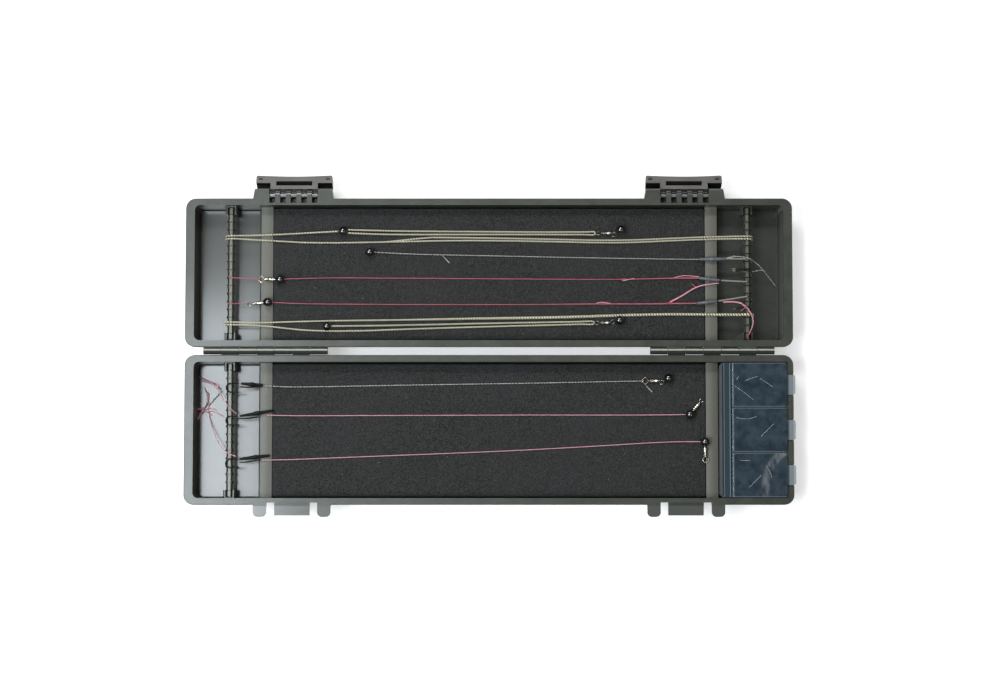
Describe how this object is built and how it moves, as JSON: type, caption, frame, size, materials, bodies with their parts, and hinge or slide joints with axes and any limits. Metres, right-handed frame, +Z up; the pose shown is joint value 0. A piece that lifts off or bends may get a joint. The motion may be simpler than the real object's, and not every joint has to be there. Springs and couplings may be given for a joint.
{
  "type": "fishing rig box",
  "caption": "Hinged two-half rig box, shown open flat, with foam beds, ringed rig bars, side latches, flapped compartments and stored rigs.",
  "frame": {"origin": "centre of the base's bottom face, which rests on a table", "axes": "+X along the box towards the compartments, +Y from the base towards the opened lid, +Z up, out of the open halves"},
  "size_m": [0.3651, 0.2057, 0.0263],
  "materials": {
    "olive_shell": "semi-gloss moulded plastic",
    "olive_bar": "satin moulded plastic",
    "charcoal_foam": "matte closed-cell foam",
    "pin_steel": "plain steel wire",
    "olive_tray": "semi-gloss moulded plastic",
    "smoke_clear": "clear smoke-blue plastic",
    "brown_latch": "satin moulded plastic",
    "olive_leader": "twisted coated leader",
    "black_bead": "glossy rubber",
    "bright_swivel": "bright plated metal",
    "black_tube": "shrunk tubing",
    "dark_hook": "dark coated steel",
    "dark_braid": "coated braid",
    "red_line": "coated line",
    "pink_line": "coated line"
  },
  "bodies": {
    "base": {"base_shell": "olive_shell", "base_foam": "charcoal_foam", "base_rig_bar": "olive_bar", "hinge_pin_left": "pin_steel", "hinge_pin_right": "pin_steel", "compartment_tray": "olive_tray", "flap_hinge_strip": "smoke_clear", "rig_4_line": "dark_braid", "rig_5_line": "pink_line", "rig_5_hair": "pink_line", "rig_6_line": "pink_line", "rig_6_hair": "pink_line", "rig_4_bead": "black_bead", "rig_5_bead": "black_bead", "rig_6_bead": "black_bead", "rig_4_swivel": "bright_swivel", "rig_5_swivel": "bright_swivel", "rig_6_swivel": "bright_swivel", "base_shrink_tubes": "black_tube", "base_hooks": "dark_hook"},
    "lid": {"lid_shell": "olive_shell", "lid_foam": "charcoal_foam", "lid_rig_bar_left": "olive_bar", "lid_rig_bar_right": "olive_bar", "latch_pin_left": "pin_steel", "latch_pin_right": "pin_steel", "leader_1_line": "olive_leader", "leader_1_second_strand": "olive_leader", "leader_1_bead_strand": "olive_leader", "leader_1_loop": "olive_leader", "leader_2_line": "olive_leader", "leader_2_loop": "olive_leader", "leader_1_bead": "black_bead", "leader_1_end_bead": "black_bead", "leader_1_swivel": "bright_swivel", "leader_2_bead": "black_bead", "leader_2_end_bead": "black_bead", "leader_2_swivel": "bright_swivel", "rig_1_line": "dark_braid", "rig_1_hair": "dark_braid", "rig_2_line": "red_line", "rig_2_hair": "red_line", "rig_3_line": "red_line", "rig_3_hair": "red_line", "rig_1_bead": "black_bead", "rig_2_bead": "black_bead", "rig_3_bead": "black_bead", "rig_2_swivel": "bright_swivel", "rig_3_swivel": "bright_swivel", "lid_shrink_tubes": "black_tube", "lid_hooks": "dark_hook"},
    "latch_left": {"latch_left": "brown_latch"},
    "latch_right": {"latch_right": "brown_latch"},
    "flap_front": {"flap_front": "smoke_clear"},
    "flap_middle": {"flap_middle": "smoke_clear"},
    "flap_back": {"flap_back": "smoke_clear"}
  },
  "joints": [
    {"name": "lid_hinge", "type": "hinge", "parent": "base", "child": "lid", "pos_m": [0, 0.04715, 0.02415], "axis": [-1, 0, 0], "range_deg": [-180, 0]},
    {"name": "latch_left_hinge", "type": "hinge", "parent": "lid", "child": "latch_left", "pos_m": [-0.1175, 0.1413, 0.0203], "axis": [-1, 0, 0], "range_deg": [-110, 0]},
    {"name": "latch_right_hinge", "type": "hinge", "parent": "lid", "child": "latch_right", "pos_m": [0.1175, 0.1413, 0.0203], "axis": [-1, 0, 0], "range_deg": [-110, 0]},
    {"name": "flap_front_hinge", "type": "hinge", "parent": "base", "child": "flap_front", "pos_m": [0.1458, -0.02693, 0.0229], "axis": [0, -1, 0], "range_deg": [0, 110]},
    {"name": "flap_middle_hinge", "type": "hinge", "parent": "base", "child": "flap_middle", "pos_m": [0.1458, 0, 0.0229], "axis": [0, -1, 0], "range_deg": [0, 110]},
    {"name": "flap_back_hinge", "type": "hinge", "parent": "base", "child": "flap_back", "pos_m": [0.1458, 0.02693, 0.0229], "axis": [0, -1, 0], "range_deg": [0, 110]}
  ]
}
